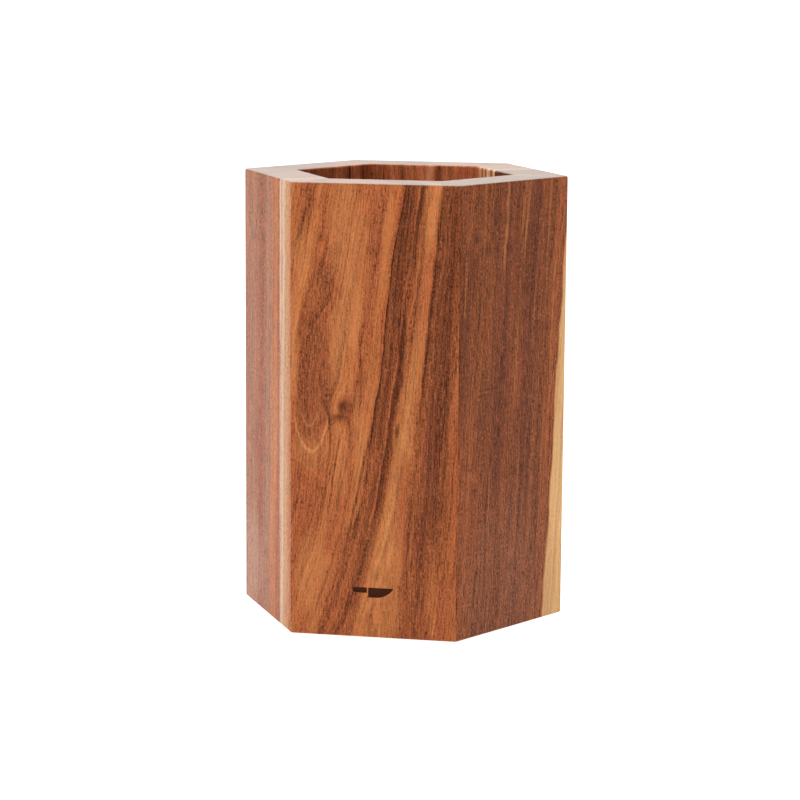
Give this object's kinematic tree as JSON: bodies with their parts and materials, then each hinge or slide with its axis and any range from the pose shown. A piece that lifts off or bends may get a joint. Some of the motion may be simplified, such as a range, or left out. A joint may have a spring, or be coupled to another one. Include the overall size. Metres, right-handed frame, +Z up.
{
  "type": "universal knife block",
  "caption": "Upright hexagonal wooden knife block with thick mitred walls, an open mouth and a lift-out insert of flexible rods standing in a tray.",
  "frame": {"origin": "on the surface that the block stands on, below the block's upright axis", "axes": "+Z up out of the mouth, -Y towards the front wall that carries the burned mark, +X to the right seen from the front"},
  "size_m": [0.167, 0.145, 0.2265],
  "materials": {
    "acacia_orange": "satin oil",
    "acacia_dark": "satin oil",
    "acacia_pink": "satin oil",
    "acacia_pale": "satin oil",
    "acacia_red": "satin oil",
    "foot_rubber": "matt",
    "tray_plastic": "fine texture",
    "rod_plastic": "satin"
  },
  "bodies": {
    "block": {"front_wall": "acacia_orange", "front_right_wall": "acacia_dark", "front_left_wall_wide_stave": "acacia_pink", "front_left_wall_narrow_stave": "acacia_pale", "back_right_wall_front_stave": "acacia_red", "back_right_wall_rear_stave": "acacia_pale", "back_wall_right_stave": "acacia_orange", "back_wall_left_stave": "acacia_dark", "back_left_wall_rear_stave": "acacia_orange", "back_left_wall_front_stave": "acacia_red", "base_panel": "acacia_orange", "foot_front": "foot_rubber", "foot_front_right": "foot_rubber", "foot_back_right": "foot_rubber", "foot_back": "foot_rubber", "foot_back_left": "foot_rubber", "foot_front_left": "foot_rubber"},
    "insert": {"insert_tray": "tray_plastic", "rod_root_plate": "rod_plastic", "flexible_rods": "rod_plastic"}
  },
  "joints": [
    {"name": "insert_lift", "type": "slide", "parent": "block", "child": "insert", "axis": [0, 0, 1], "range_m": [0, 0.215]}
  ]
}
